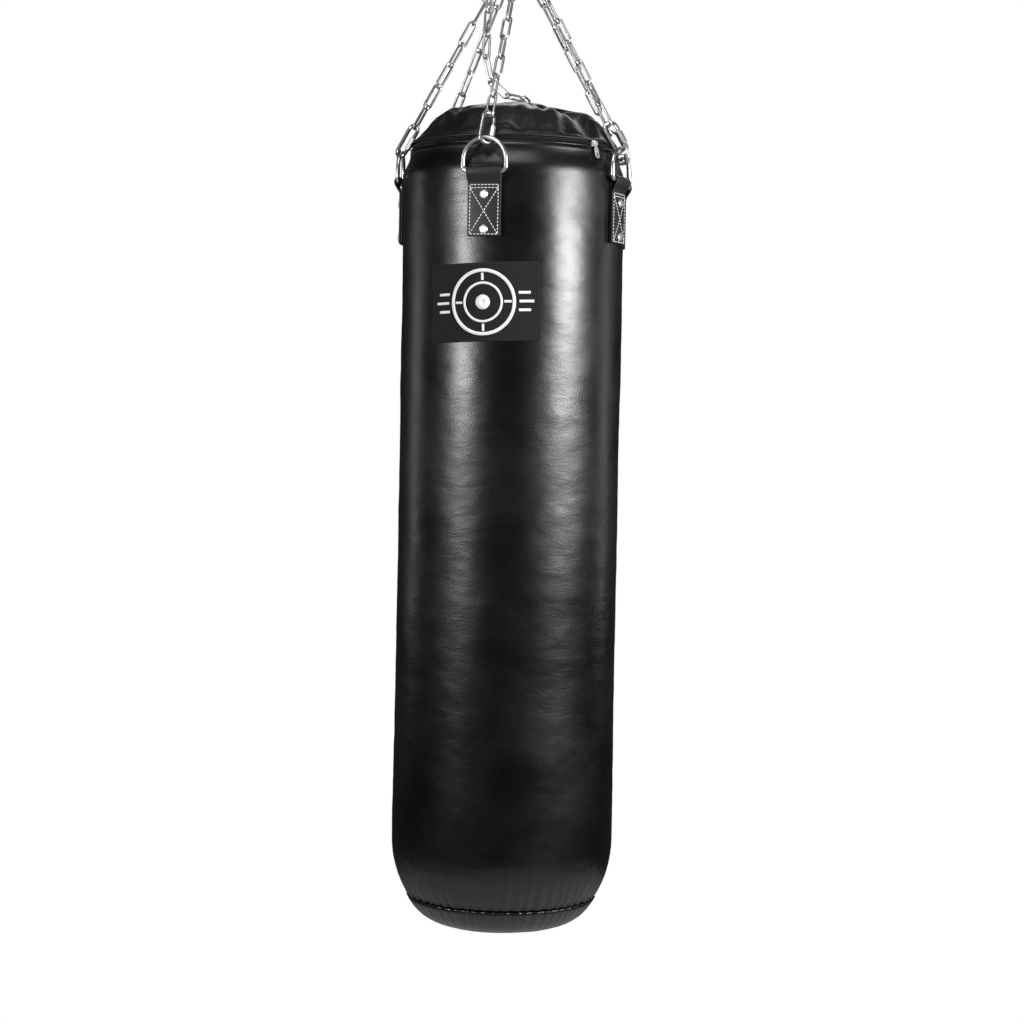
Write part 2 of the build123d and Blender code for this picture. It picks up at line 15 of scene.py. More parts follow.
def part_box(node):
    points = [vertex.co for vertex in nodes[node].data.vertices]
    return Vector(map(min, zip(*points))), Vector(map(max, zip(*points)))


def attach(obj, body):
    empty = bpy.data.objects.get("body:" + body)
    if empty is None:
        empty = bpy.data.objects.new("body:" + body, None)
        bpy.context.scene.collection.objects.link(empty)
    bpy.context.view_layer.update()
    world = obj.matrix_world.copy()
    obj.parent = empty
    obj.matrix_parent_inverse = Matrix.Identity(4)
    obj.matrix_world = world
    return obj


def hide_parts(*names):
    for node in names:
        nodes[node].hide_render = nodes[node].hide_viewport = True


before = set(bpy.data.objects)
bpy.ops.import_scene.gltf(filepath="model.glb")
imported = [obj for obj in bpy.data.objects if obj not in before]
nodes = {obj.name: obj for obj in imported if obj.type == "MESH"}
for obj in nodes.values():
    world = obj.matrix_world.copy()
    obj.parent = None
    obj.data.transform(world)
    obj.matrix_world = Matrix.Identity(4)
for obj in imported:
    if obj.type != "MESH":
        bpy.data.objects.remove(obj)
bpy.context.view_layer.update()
MM = 0.001
STRAND_NAMES = ("front", "right", "back_right", "back", "back_left", "left")
STRAP_ANGLES = dict(zip(STRAND_NAMES, (0, 80, 120, 180, -120, -80)))
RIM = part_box("leather_shell")[1][2] + 5 * MM
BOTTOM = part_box("base_panel")[0][2]
print(f"rim at {RIM:.3f} m, bottom at {BOTTOM:.3f} m")

# %% [markdown]
# ## Helpers for nodes and meshes
# A material is a short list of nodes, so one small function adds a node with its settings and links. Meshes are made
# with bmesh and turned into an object that rides on the bag.


# %% Node and mesh helpers
def linear(code):
    """sRGB hex code to a linear colour."""
    channels = [int(code[i : i + 2], 16) / 255 for i in (1, 3, 5)]
    return [c / 12.92 if c <= 0.04045 else ((c + 0.055) / 1.055) ** 2.4 for c in channels] + [1]


def add_node(tree, kind, settings=None, values=None, links=None):
    """Add a node, set its properties and inputs, and link other nodes' outputs into it."""
    made = tree.nodes.new(kind)
    for name, value in (settings or {}).items():
        setattr(made, name, value)
    for name, value in (values or {}).items():
        made.inputs[name].default_value = value
    for name, (source, output) in (links or {}).items():
        tree.links.new(source.outputs[output], made.inputs[name])
    return made


def new_material(name):
    """Empty node material with its shader and output."""
    material = bpy.data.materials.new(name)
    material.use_nodes = True
    tree = material.node_tree
    shader = tree.nodes["Principled BSDF"]
    return material, tree, shader


def finish_piece(bm, name, material, body="bag", smooth=True):
    """Turn a bmesh into a named object that rides on a body."""
    mesh = bpy.data.meshes.new(name)
    bm.to_mesh(mesh)
    bm.free()
    mesh.materials.append(material)
    for face in mesh.polygons:
        face.use_smooth = smooth
    piece = bpy.data.objects.new(name, mesh)
    bpy.context.scene.collection.objects.link(piece)
    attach(piece, body)
    return piece


# %% [markdown]
# ## Black leather
# The wall is vinyl-coated cowhide with a fine pebble grain: almost black, with a soft shine that breaks up over the
# grain. The grain is a cell pattern of about a millimetre, drawn a little coarser so that it shows, over a slow
# unevenness of the coat. The shine changes slowly from place to place, where hands and gloves have rubbed it.


# %% Leather materials
def leather(name, colour, rubbed, shine, grain_mm, grain_depth, crease_scale, crease_depth):
    """Grained leather: cells for the grain, stretched noise for the creases, slow noise for wear."""
    material, tree, shader = new_material(name)
    place = add_node(tree, "ShaderNodeTexCoord")
    wear = add_node(
        tree, "ShaderNodeTexNoise", values={"Scale": 9.0, "Detail": 5.0}, links={"Vector": (place, "Object")}
    )
    tone = add_node(tree, "ShaderNodeValToRGB", links={"Fac": (wear, "Fac")})
    tone.color_ramp.elements[0].position = 0.35
    tone.color_ramp.elements[0].color = linear(colour)
    tone.color_ramp.elements[1].position = 0.75
    tone.color_ramp.elements[1].color = linear(rubbed)
    gloss = add_node(
        tree,
        "ShaderNodeMapRange",
        values={"From Min": 0.3, "From Max": 0.7, "To Min": shine - 0.05, "To Max": shine + 0.07},
        links={"Value": (wear, "Fac")},
    )
    cells = add_node(
        tree,
        "ShaderNodeTexVoronoi",
        {"feature": "SMOOTH_F1"},
        {"Scale": 1 / (grain_mm * MM), "Smoothness": 0.6},
        {"Vector": (place, "Object")},
    )
    flat = add_node(
        tree, "ShaderNodeMapping", values={"Scale": crease_scale}, links={"Vector": (place, "Object")}
    )
    creases = add_node(
        tree,
        "ShaderNodeTexNoise",
        values={"Scale": 1.0, "Detail": 6.0, "Roughness": 0.6, "Distortion": 0.5},
        links={"Vector": (flat, "Vector")},
    )
    low = add_node(
        tree,
        "ShaderNodeBump",
        values={"Strength": 1.0, "Distance": crease_depth * MM},
        links={"Height": (creases, "Fac")},
    )
    fine = add_node(
        tree,
        "ShaderNodeBump",
        values={"Strength": 0.7, "Distance": grain_depth * MM},
        links={"Height": (cells, "Distance"), "Normal": (low, "Normal")},
    )
    tree.links.new(tone.outputs["Color"], shader.inputs["Base Color"])
    tree.links.new(gloss.outputs["Result"], shader.inputs["Roughness"])
    tree.links.new(fine.outputs["Normal"], shader.inputs["Normal"])
    shader.inputs["IOR"].default_value = 1.5
    return material


wall_leather = leather("black_cowhide", "#040405", "#0a0a0b", 0.33, 1.5, 0.12, (15.0, 15.0, 40.0), 0.6)
cap_leather = leather("soft_black_vinyl", "#060606", "#0d0d0e", 0.5, 1.2, 0.08, (26.0, 34.0, 30.0), 2.4)
strap_leather = leather("thick_strap_hide", "#060606", "#0f0f10", 0.55, 1.1, 0.14, (60.0, 60.0, 60.0), 0.6)


# %% [markdown]
# ## Metals, thread and cloth
# Links, rings and D-rings are bright zinc-plated steel wire: the plating is smooth but never even, so its roughness
# drifts over a few centimetres and has a fine pitted texture. Rivets and sleeves are nickel plated and smoother.


# %% Metal, thread and cloth materials
def plated(name, colour, dull, shine, pit_mm):
    """Plated steel with a drifting roughness and fine pits."""
    material, tree, shader = new_material(name)
    place = add_node(tree, "ShaderNodeTexCoord")
    drift = add_node(
        tree, "ShaderNodeTexNoise", values={"Scale": 55.0, "Detail": 4.0}, links={"Vector": (place, "Object")}
    )
    tone = add_node(tree, "ShaderNodeValToRGB", links={"Fac": (drift, "Fac")})
    tone.color_ramp.elements[0].position = 0.3
    tone.color_ramp.elements[0].color = linear(dull)
    tone.color_ramp.elements[1].position = 0.62
    tone.color_ramp.elements[1].color = linear(colour)
    rough = add_node(
        tree,
        "ShaderNodeMapRange",
        values={"From Min": 0.3, "From Max": 0.7, "To Min": shine + 0.12, "To Max": shine},
        links={"Value": (drift, "Fac")},
    )
    pits = add_node(
        tree,
        "ShaderNodeTexNoise",
        values={"Scale": 1 / (pit_mm * MM), "Detail": 3.0},
        links={"Vector": (place, "Object")},
    )
    bump = add_node(
        tree, "ShaderNodeBump", values={"Strength": 0.35, "Distance": 0.06 * MM}, links={"Height": (pits, "Fac")}
    )
    tree.links.new(tone.outputs["Color"], shader.inputs["Base Color"])
    tree.links.new(rough.outputs["Result"], shader.inputs["Roughness"])
    tree.links.new(bump.outputs["Normal"], shader.inputs["Normal"])
    shader.inputs["Metallic"].default_value = 1.0
    return material


def woven(name, colour, light, thread_mm, rough):
    """Woven or twisted thread: crossed ribs at the thread's spacing."""
    material, tree, shader = new_material(name)
    place = add_node(tree, "ShaderNodeTexCoord")
    turned = add_node(
        tree, "ShaderNodeMapping", values={"Rotation": (0.5, 0.35, 0.785)}, links={"Vector": (place, "Object")}
    )
    ribs = add_node(
        tree,
        "ShaderNodeTexWave",
        {"wave_type": "BANDS"},
        {"Scale": 0.32 / (thread_mm * MM), "Distortion": 1.2, "Detail": 2.0},
        {"Vector": (turned, "Vector")},
    )
    tone = add_node(tree, "ShaderNodeValToRGB", links={"Fac": (ribs, "Fac")})
    tone.color_ramp.elements[0].color = linear(colour)
    tone.color_ramp.elements[1].color = linear(light)
    bump = add_node(
        tree, "ShaderNodeBump", values={"Strength": 0.6, "Distance": 0.2 * MM}, links={"Height": (ribs, "Fac")}
    )
    tree.links.new(tone.outputs["Color"], shader.inputs["Base Color"])
    tree.links.new(bump.outputs["Normal"], shader.inputs["Normal"])
    shader.inputs["Roughness"].default_value = rough
    shader.inputs["Sheen Weight"].default_value = 0.04
    return material


zinc = plated("bright_zinc_plate", "#cfd1d3", "#9c9fa2", 0.26, 0.8)
nickel = plated("satin_nickel_plate", "#ebe9e5", "#d0cecb", 0.36, 0.6)
steel = plated("machined_steel", "#c3c5c8", "#9a9da1", 0.30, 0.5)
white_thread = woven("bonded_nylon_thread", "#c4c3bf", "#efeeea", 0.7, 0.6)
black_thread = woven("black_nylon_thread", "#060606", "#121213", 0.7, 0.8)
embroidery = woven("satin_stitch_thread", "#cfcecb", "#f4f3f0", 1.1, 0.55)
black_tape = woven("black_zip_tape", "#0c0c0d", "#1b1b1d", 0.8, 0.85)
patch_cloth = woven("black_patch_twill", "#030303", "#090909", 1.0, 0.95)
foam_cloth = woven("grey_foam_wrap", "#55565a", "#6d6e72", 3.0, 0.9)
rag_fill = woven("packed_rag_fill", "#6a655f", "#8a857d", 6.0, 0.95)

METAL_NODES = {
    zinc: ["master_ring"]
    + [f"{kind}_{name}" for kind in ("chain", "d_ring", "quick_link") for name in STRAND_NAMES],
    nickel: ["strap_rivets", "rivet_washers", "zip_slider", "zip_pull"]
    + [f"link_sleeve_{name}" for name in STRAND_NAMES],
    steel: [
        "hanging_eye",
        "swivel_cup",
        "swivel_shank",
        "shank_nut",
        "bearing_race_lower",
        "bearing_race_upper",
        "bearing_balls",
    ],
    black_tape: ["zip_tape", "liner"],
    foam_cloth: ["foam_wrap", "top_pad", "base_pad"],
    rag_fill: ["filling"],
}
for material, names in METAL_NODES.items():
    for name in names:
        for slot in nodes[name].material_slots:
            slot.material = material
print(f"{sum(len(names) for names in METAL_NODES.values())} CAD nodes given their finish")

# %% [markdown]
# ## The bag's surface
# A heavy bag isn't a clean cylinder: the filling packs unevenly, the wall buckles in shallow level creases, and the
# foot puckers where the round base is sewn in. All of that is one function of the angle and the depth, and the wall,
# the straps, the patch and the stitches all ask it where the leather is.

# %% Surface of the bag
RIM_R, SIDE_R, FOOT_R, SEAM_R = 163 * MM, 173 * MM, 174.5 * MM, 150 * MM
NECK, SHOULDER, CORNER, SEAM = 12 * MM, 45 * MM, 1080 * MM, 1171 * MM
FOOT_ARC = 168 * MM
SIDE_SEAM_ANGLE = 150
STRAP_HALF, STRAP_END = 25 * MM, 148 * MM
PUCKERS = 58


def smooth_step(value):
    """Ease from 0 to 1."""
    value = min(max(value, 0), 1)
    return value * value * (3 - 2 * value)


def plain_radius(depth):
    """Radius of the wall with no creases."""
    if depth < SHOULDER:
        return RIM_R + (SIDE_R - RIM_R) * smooth_step((depth - NECK) / (SHOULDER - NECK))
    if depth < CORNER:
        share = (depth - SHOULDER) / (CORNER - SHOULDER)
        return SIDE_R + (FOOT_R - SIDE_R) * share - 1.2 * MM * sin(pi * share)
    drop = depth - CORNER
    return FOOT_R - FOOT_ARC + sqrt(FOOT_ARC**2 - drop**2)


def near_strap(angle, depth):
    """1 beside a strap, falling to 0 a little way off."""
    gap = min(abs((angle - strap + 180) % 360 - 180) for strap in STRAP_ANGLES.values())
    across = smooth_step(1.6 - radians(gap) * SIDE_R / STRAP_HALF)
    return across * smooth_step(1.6 - depth / STRAP_END)


def crease(angle, depth):
    """How far the leather stands off the plain radius."""
    turn = radians(angle)
    around = Vector((sin(turn), -cos(turn), 0))
    lumps = noise.noise(around * 1.6 + Vector((0, 0, depth * 7))) * 1.3 * MM
    level = noise.noise(around * 2.4 + Vector((3, 1, depth * 34))) * 0.5 * MM
    fine = noise.noise(around * 7.0 + Vector((7, 5, depth * 95))) * 0.28 * MM
    quiet = 1 - near_strap(angle, depth)
    low = smooth_step((depth - CORNER + 60 * MM) / (SEAM - CORNER + 60 * MM))
    wander = noise.noise(around * 5) * 1.4
    pucker = (cos(PUCKERS * turn + wander * 3) - 0.4) * 1.5 * MM * low**3
    lap = 0.9 * MM * smooth_step(1.5 - abs(radians(angle - SIDE_SEAM_ANGLE)) * SIDE_R / (8 * MM))
    top = smooth_step((depth - NECK) / (SHOULDER - NECK))
    return (lumps + level + fine) * quiet * top * (1 - 0.5 * low) + pucker + lap * top


def on_bag(angle, depth, out=0.0):
    """Point on the leather, or a little outside it."""
    reach = plain_radius(depth) + crease(angle, depth) + out
    return Vector((reach * sin(radians(angle)), -reach * cos(radians(angle)), RIM - depth))


# %% [markdown]
# ## Leather wall
# The wall starts as one upright line of points that spins round the axis, which gives an even grid. Then each point
# moves to where the surface function says, and a Solidify modifier gives the hide its thickness.


# %% Wall
def spun(profile, steps):
    """Spin a line of (radius, height) points into a closed round sheet."""
    bm = bmesh.new()
    ring = [bm.verts.new((0, -radius, height)) for radius, height in profile]
    edges = [bm.edges.new(pair) for pair in zip(ring, ring[1:])]
    bmesh.ops.spin(
        bm, geom=ring + edges, axis=(0, 0, 1), cent=(0, 0, 0), steps=steps, angle=2 * pi, use_merge=True
    )
    bmesh.ops.remove_doubles(bm, verts=bm.verts, dist=1e-6)
    bmesh.ops.recalc_face_normals(bm, faces=bm.faces)
    return bm


def outward_facing(bm):
    """Turn the faces out if most of them look towards the axis."""
    lean = sum(face.normal.dot(Vector((*face.calc_center_median()[:2], 0))) for face in bm.faces)
    if lean < 0:
        bmesh.ops.reverse_faces(bm, faces=bm.faces)


ROWS, AROUND = 190, 232
depths = [5 * MM + (SEAM - 5 * MM) * i / ROWS for i in range(ROWS + 1)]
bm = spun([(plain_radius(depth), RIM - depth) for depth in depths], AROUND)
for vert in bm.verts:
    vert.co = on_bag(degrees(atan2(vert.co.x, -vert.co.y)), RIM - vert.co.z)
bm.normal_update()
outward_facing(bm)
wall = finish_piece(bm, "bag_wall", wall_leather)
hide = wall.modifiers.new("hide", "SOLIDIFY")
hide.thickness, hide.offset = 2.6 * MM, -1
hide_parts("leather_shell")
print(f"wall: {len(wall.data.vertices)} points")

# %% [markdown]
# ## Base
# The base is a dished round panel. Its edge follows the puckers of the wall's foot, and they fade towards the middle.

# %% Base panel
DISH = 49 * MM


def dish_point(radius, angle):
    """Point on the base, with the wall's puckers fading inwards."""
    share = radius / SEAM_R
    fall = DISH * (1 - 0.22 * share**2 - 0.78 * share**7)
    shade = share**6
    reach = radius + crease(angle, SEAM) * shade
    lumps = noise.noise(Vector((radius * sin(radians(angle)), radius * cos(radians(angle)), 2)) * 18) * 1.2 * MM
    height = RIM - SEAM - fall + abs(lumps) * (1 - share**3)
    return Vector((reach * sin(radians(angle)), -reach * cos(radians(angle)), max(height, BOTTOM)))


bm = spun([(SEAM_R * i / 40 + 1e-7, 0) for i in range(40, -1, -1)], AROUND)
bmesh.ops.remove_doubles(bm, verts=bm.verts, dist=1e-5)
for vert in bm.verts:
    vert.co = dish_point(hypot(vert.co.x, vert.co.y), degrees(atan2(vert.co.x, -vert.co.y)))
bm.normal_update()
if sum(face.normal.z for face in bm.faces) > 0:
    bmesh.ops.reverse_faces(bm, faces=bm.faces)
base = finish_piece(bm, "bag_base", wall_leather)
hide = base.modifiers.new("hide", "SOLIDIFY")
hide.thickness, hide.offset = 2.4 * MM, -1
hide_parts("base_panel")

# %% [markdown]
# ## Soft cap
# The cap is softer, duller vinyl over a foam disc. It is cut a little large, so it falls in folds that run from the
# crown to the zip, and each quick link presses a hollow in its shoulder. Folds only ever go inwards, which keeps the
# chain that lies on the cap clear of it.

# %% Cap
CAP_PROFILE = ((163, 5), (159, 12), (152, 20), (144, 33), (134, 47), (122, 57), (105, 63), (55, 71), (0, 75))
CAP_EDGE = 5 * MM
RING_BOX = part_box("master_ring")
RING_CENTRE = (RING_BOX[0][2] + RING_BOX[1][2]) / 2
RING_R = (RING_BOX[1][2] - RING_BOX[0][2]) / 2 - 3.5 * MM
RING_PLACES = dict(zip(STRAND_NAMES, (0, 25, 13, None, -13, -25)))
ARCH_R, ARCH_Z = 178.5 * MM, RIM - 2 * MM
SLACK_LEAN = 31
FOLDS = ((16, 4, 7.0), (27, 5, 9.0), (41, 6, 8.0), (60, 12, 12.0), (97, 8, 7.0), (141, 7, 5.0), (-150, 9, 6.0))
FOLDS += ((-100, 6, 6.0), (-62, 7, 7.0), (-47, 5, 5.0), (-27, 6, 5.5))


def strand_line(name):
    """Arch point of a strand and the direction towards the ring."""
    turn = radians(STRAP_ANGLES[name])
    arch = Vector((ARCH_R * sin(turn), -ARCH_R * cos(turn), ARCH_Z))
    if RING_PLACES[name] is None:
        return arch, Vector((0, -sin(radians(SLACK_LEAN)), cos(radians(SLACK_LEAN))))
    place = radians(RING_PLACES[name])
    ring = Vector((RING_R * sin(place), 0, RING_CENTRE - RING_R * cos(place)))
    return arch, (ring - arch).normalized()


LINES = [strand_line(name) for name in STRAND_NAMES]
HOLLOW_R = 15.6 * MM


def curve_through(points, steps):
    """Smooth line through points, as Catmull-Rom spans."""
    vectors = [Vector(p) for p in points]
    ends = [2 * vectors[0] - vectors[1]] + vectors + [2 * vectors[-1] - vectors[-2]]
    line = []
    for a, b, c, d in zip(ends, ends[1:], ends[2:], ends[3:]):
        for i in range(steps):
            t = i / steps
            line.append(
                0.5 * (2 * b + (c - a) * t + (2 * a - 5 * b + 4 * c - d) * t**2 + (3 * b - a - 3 * c + d) * t**3)
            )
    return line + [vectors[-1]]


def cap_sag(point):
    """Depth of the folds and waves of the cap at a point."""
    radius = hypot(point.x, point.y)
    share = radius / RIM_R
    angle = degrees(atan2(point.x, -point.y))
    depth = 0.0
    for fold, width, size in FOLDS:
        line = fold + 34 * (1 - share) * (1 if fold > 0 else -1)
        off = (angle - line + 180) % 360 - 180
        ridge = exp(-((off / width) ** 2)) - 0.35 * exp(-(((abs(off) - 2.1 * width) / width) ** 2))
        depth += size * MM * ridge * smooth_step(share * 1.8 - 0.25) * smooth_step((1.03 - share) * 7)
    bent = point + noise.noise_vector(point * 14) * 0.03
    wrinkle = 1 - min(1, abs(noise.noise(bent * 20)) * 4.5)
    waves = 0.9 + noise.noise(point * 16) + 0.5 * noise.noise(point * 41)
    low = smooth_step((RIM + 26 * MM - point.z) / (14 * MM))
    gather = 0.5 * (1 + cos(radians(angle) * 74 + 2 * noise.noise(point * 9))) * low
    tent = 0.5 + 0.5 * cos(radians(angle - 62)) ** 2 * (1 if abs(angle) < 150 else 0.4)
    depth += 9.5 * MM * tent * smooth_step(share * 2.6 - 0.5) * smooth_step((1 - share) * 5)
    free = smooth_step((1.02 - share) * 9)
    return max(0.0, depth + (waves * 1.3 + wrinkle * 2.4 + gather * 1.5) * MM * free)


def press(point):
    """Push a point out of the hollow round each quick link."""
    for arch, direction in LINES:
        along = (point - arch).dot(direction)
        if not -15 * MM < along < 95 * MM:
            continue
        away = point - arch - direction * along
        reach = HOLLOW_R * smooth_step((95 * MM - along) / (25 * MM))
        soft = 9 * MM
        if away.length < reach + soft:
            push = (reach + soft - away.length) ** 2 / (4 * soft) if away.length > reach - soft else reach - away.length
            point = point + away.normalized() * push
    return point


profile = [(p.x * MM, RIM + p.y * MM) for p in curve_through([(r, z, 0) for r, z in CAP_PROFILE], 9)]
bm = spun(profile, 288)
for vert in bm.verts:
    normal = vert.normal if vert.normal.z > 0 else -vert.normal
    sunk = vert.co - Vector((vert.co.x * 0.25, vert.co.y * 0.25, 0)).normalized() * cap_sag(vert.co) * 0.35
    sunk.z -= cap_sag(vert.co) * 0.8
    if vert.co.z < RIM + CAP_EDGE + 2 * MM:
        sunk = vert.co.copy()
    vert.co = press(sunk)
bm.normal_update()
outward_facing(bm)
cap = finish_piece(bm, "soft_cap", cap_leather)
hide = cap.modifiers.new("hide", "SOLIDIFY")
hide.thickness, hide.offset = 2.0 * MM, -1
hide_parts("top_cap")
print(f"cap: {len(cap.data.vertices)} points")

# %% [markdown]
# ## Stitches
# A stitch is a short fat thread that dips into the leather at both ends. It is one squashed ball with few faces,
# copied along a line of points, because hundreds of them are needed.


# %% Stitch maker
def copies(bm, places, make):
    """Make one small shape at every place, a few at a time so that the work stays quick."""
    part = bpy.data.meshes.new("copies")
    for first in range(0, len(places), 12):
        few = bmesh.new()
        for place in places[first : first + 12]:
            make(few, place)
        few.to_mesh(part)
        few.free()
        bm.from_mesh(part)
    bpy.data.meshes.remove(part)


def make_stitch(bm, place):
    """One stitch: a ball squashed by its place matrix."""
    bmesh.ops.create_uvsphere(bm, u_segments=7, v_segments=4, radius=1, matrix=place)


def stitch_row(bm, points, normals, width=0.75, height=0.55):
    """Put one stitch on each step between neighbouring points."""
    places = []
    for start, end, up in zip(points, points[1:], normals):
        along = (end - start).normalized()
        side = up.cross(along).normalized()
        turn = Matrix((along, side, along.cross(side))).transposed().to_4x4()
        grow = Matrix.Diagonal(((end - start).length * 0.42, width * MM, height * MM, 1))
        places.append(Matrix.Translation((start + end) / 2) @ turn @ grow)
    copies(bm, places, make_stitch)


def line_on_bag(start, end, pitch, out):
    """Points and outward directions along a straight line in (angle, depth) on the bag."""
    length = hypot(radians(end[0] - start[0]) * SIDE_R, end[1] - start[1])
    count = max(2, round(length / pitch))
    spots = [
        (start[0] + (end[0] - start[0]) * i / count, start[1] + (end[1] - start[1]) * i / count)
        for i in range(count + 1)
    ]
    points = [on_bag(angle, depth, out) for angle, depth in spots]
    normals = [Vector((sin(radians(a)), -cos(radians(a)), 0)) for a, _ in spots]
    return points, normals


# %% [markdown]
# ## Straps
# Each strap is a 50 mm hide band folded round the D-ring's bar and sewn flat on the wall: an outer rectangle, a double
# row at the top end, a single row at the bottom end and a cross between them, all in white thread. The band is a traced
# fold: a line of points that is extruded sideways, bent with the bag, and given its thickness with rounded edges.

# %% Strap shapes
LAYER = 3.0 * MM
LOOP_R = 180.6 * MM
BAR_Z = ARCH_Z - 50 * MM
LOOP_TURN_R = LOOP_R - (SIDE_R + 0.15 * MM + LAYER / 2)
STRAP_TOP_STITCH, STRAP_END_STITCH = 72 * MM, 145.4 * MM
STITCH = 5.2 * MM


def strap_fold():
    """Centre line of the folded band, as (radius, height) points."""
    inner = SIDE_R + 0.15 * MM + LAYER / 2
    outer = inner + LAYER + 0.05 * MM
    end = RIM - STRAP_END
    line = [(inner, end + (BAR_Z - end) * i / 14) for i in range(15)]
    line += [
        (LOOP_R - LOOP_TURN_R * cos(radians(t)), BAR_Z + LOOP_TURN_R * sin(radians(t))) for t in range(18, 181, 18)
    ]
    swell = LOOP_R + LOOP_TURN_R
    drop = 20 * MM
    for i in range(1, 9):
        share = i / 8
        line.append((swell + (outer - swell) * smooth_step(share), BAR_Z - drop * share))
    start = BAR_Z - drop
    line += [(outer, start + (end - start) * i / 12) for i in range(1, 13)]
    return line


def make_strap(name):
    """One strap: the fold extruded across, then wrapped round the bag at its angle."""
    bm = bmesh.new()
    across = 14
    line = [bm.verts.new((0, radius, height)) for radius, height in strap_fold()]
    edges = [bm.edges.new(pair) for pair in zip(line, line[1:])]
    for i in range(across):
        made = bmesh.ops.extrude_edge_only(bm, edges=edges)["geom"]
        verts = [g for g in made if isinstance(g, bmesh.types.BMVert)]
        edges = [g for g in made if isinstance(g, bmesh.types.BMEdge) and all(v in verts for v in g.verts)]
        bmesh.ops.translate(bm, verts=verts, vec=(2 * STRAP_HALF / across, 0, 0))
    middle = STRAP_ANGLES[name]
    for vert in bm.verts:
        angle = radians(middle) + (vert.co.x - STRAP_HALF) / SIDE_R
        radius = vert.co.y
        vert.co = Vector((radius * sin(angle), -radius * cos(angle), vert.co.z))
    bmesh.ops.recalc_face_normals(bm, faces=bm.faces)
    strap = finish_piece(bm, f"folded_strap_{name}", strap_leather)
    body = strap.modifiers.new("hide", "SOLIDIFY")
    body.thickness, body.offset = LAYER - 0.2 * MM, 0
    edge = strap.modifiers.new("edge", "BEVEL")
    edge.width, edge.segments, edge.limit_method = 0.7 * MM, 2, "ANGLE"
    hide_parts(f"strap_{name}")


for name in STRAND_NAMES:
    make_strap(name)


# %% Strap stitching
STRAP_OUT = 6.35 * MM


def flat_line(angle_a, depth_a, angle_b, depth_b):
    """Stitch points on the flat outer layer of a strap."""
    length = hypot(radians(angle_b - angle_a) * SIDE_R, depth_b - depth_a)
    count = max(2, round(length / STITCH))
    points, normals = [], []
    for i in range(count + 1):
        angle = angle_a + (angle_b - angle_a) * i / count
        depth = depth_a + (depth_b - depth_a) * i / count
        up = Vector((sin(radians(angle)), -cos(radians(angle)), 0))
        points.append(up * (SIDE_R + STRAP_OUT) + Vector((0, 0, RIM - depth)))
        normals.append(up)
    return points, normals


for name in STRAND_NAMES:
    bm = bmesh.new()
    middle = STRAP_ANGLES[name]
    half = degrees((STRAP_HALF - 4 * MM) / SIDE_R)
    top, end = STRAP_TOP_STITCH, STRAP_END_STITCH
    inset = 4.5 * MM
    rows = [
        (middle - half, top, middle - half, end),
        (middle + half, top, middle + half, end),
        (middle - half, top, middle + half, top),
        (middle - half, top + inset, middle + half, top + inset),
        (middle - half, end, middle + half, end),
        (middle - half, top + inset, middle + half, end),
        (middle + half, top + inset, middle - half, end),
    ]
    for row in rows:
        stitch_row(bm, *flat_line(*row))
    sewn = finish_piece(bm, f"strap_stitches_{name}", white_thread)
print("six straps with their stitching")

# %% [markdown]
# ## Seams of the wall
# The wall is one hide closed by a lapped seam at the back right, sewn with two rows of black thread. The same thread
# runs round the rim below the zip and just over the puckered foot.

# %% Seam stitching
bm = bmesh.new()
for off in (-2.6, 2.6):
    angle = SIDE_SEAM_ANGLE + degrees(off * MM / SIDE_R)
    stitch_row(bm, *line_on_bag((angle, 14 * MM), (angle, SEAM - 8 * MM), 6 * MM, 0.15 * MM))
for depth in (10.5 * MM, SEAM - 7 * MM):
    stitch_row(bm, *line_on_bag((0, depth), (360, depth), 5.5 * MM, 0.15 * MM), width=0.6, height=0.4)
seams = finish_piece(bm, "wall_seam_stitches", black_thread)

# %% [markdown]
# ## Zip
# The zip closes the gap between the wall and the cap. Its teeth are short blocks in two interleaved rows, and each
# edge of the gap is bound with a narrow rolled welt.

# %% Teeth and welts
TEETH = 420
TEETH_R = 159.2 * MM
TOOTH = Matrix.Diagonal((1.5 * MM, 3.2 * MM, 3.4 * MM, 1))
bm = bmesh.new()
tooth_places = [
    Matrix.Rotation(2 * pi * i / TEETH, 4, "Z") @ Matrix.Translation((0, -TEETH_R, RIM + 0.7 * MM * (-1) ** i)) @ TOOTH
    for i in range(TEETH)
]
copies(bm, tooth_places, lambda few, place: bmesh.ops.create_cube(few, size=1, matrix=place))
teeth = finish_piece(bm, "moulded_teeth", black_tape, smooth=False)
edge = teeth.modifiers.new("edge", "BEVEL")
edge.width, edge.segments = 0.3 * MM, 1
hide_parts("zip_teeth")


def welt(name, radius, height, thickness, material, pressed):
    """Rolled edge: a round section spun about the axis."""
    bm = bmesh.new()
    made = bmesh.ops.create_circle(bm, segments=12, radius=thickness)["verts"]
    turned = Matrix.Rotation(pi / 2, 4, "Y")
    bmesh.ops.transform(bm, matrix=Matrix.Translation((0, -radius, height)) @ turned, verts=made)
    bmesh.ops.spin(
        bm, geom=bm.verts[:] + bm.edges[:], axis=(0, 0, 1), cent=(0, 0, 0), steps=288, angle=2 * pi, use_merge=True
    )
    bmesh.ops.remove_doubles(bm, verts=bm.verts, dist=1e-6)
    bmesh.ops.recalc_face_normals(bm, faces=bm.faces)
    if pressed:
        for vert in bm.verts:
            vert.co = press(vert.co)
    piece = finish_piece(bm, name, material)


welt("wall_welt", RIM_R - 1.2 * MM, RIM - 4.6 * MM, 1.4 * MM, wall_leather, False)
welt("cap_welt", RIM_R - 1.2 * MM, RIM + 5.2 * MM, 1.4 * MM, cap_leather, True)

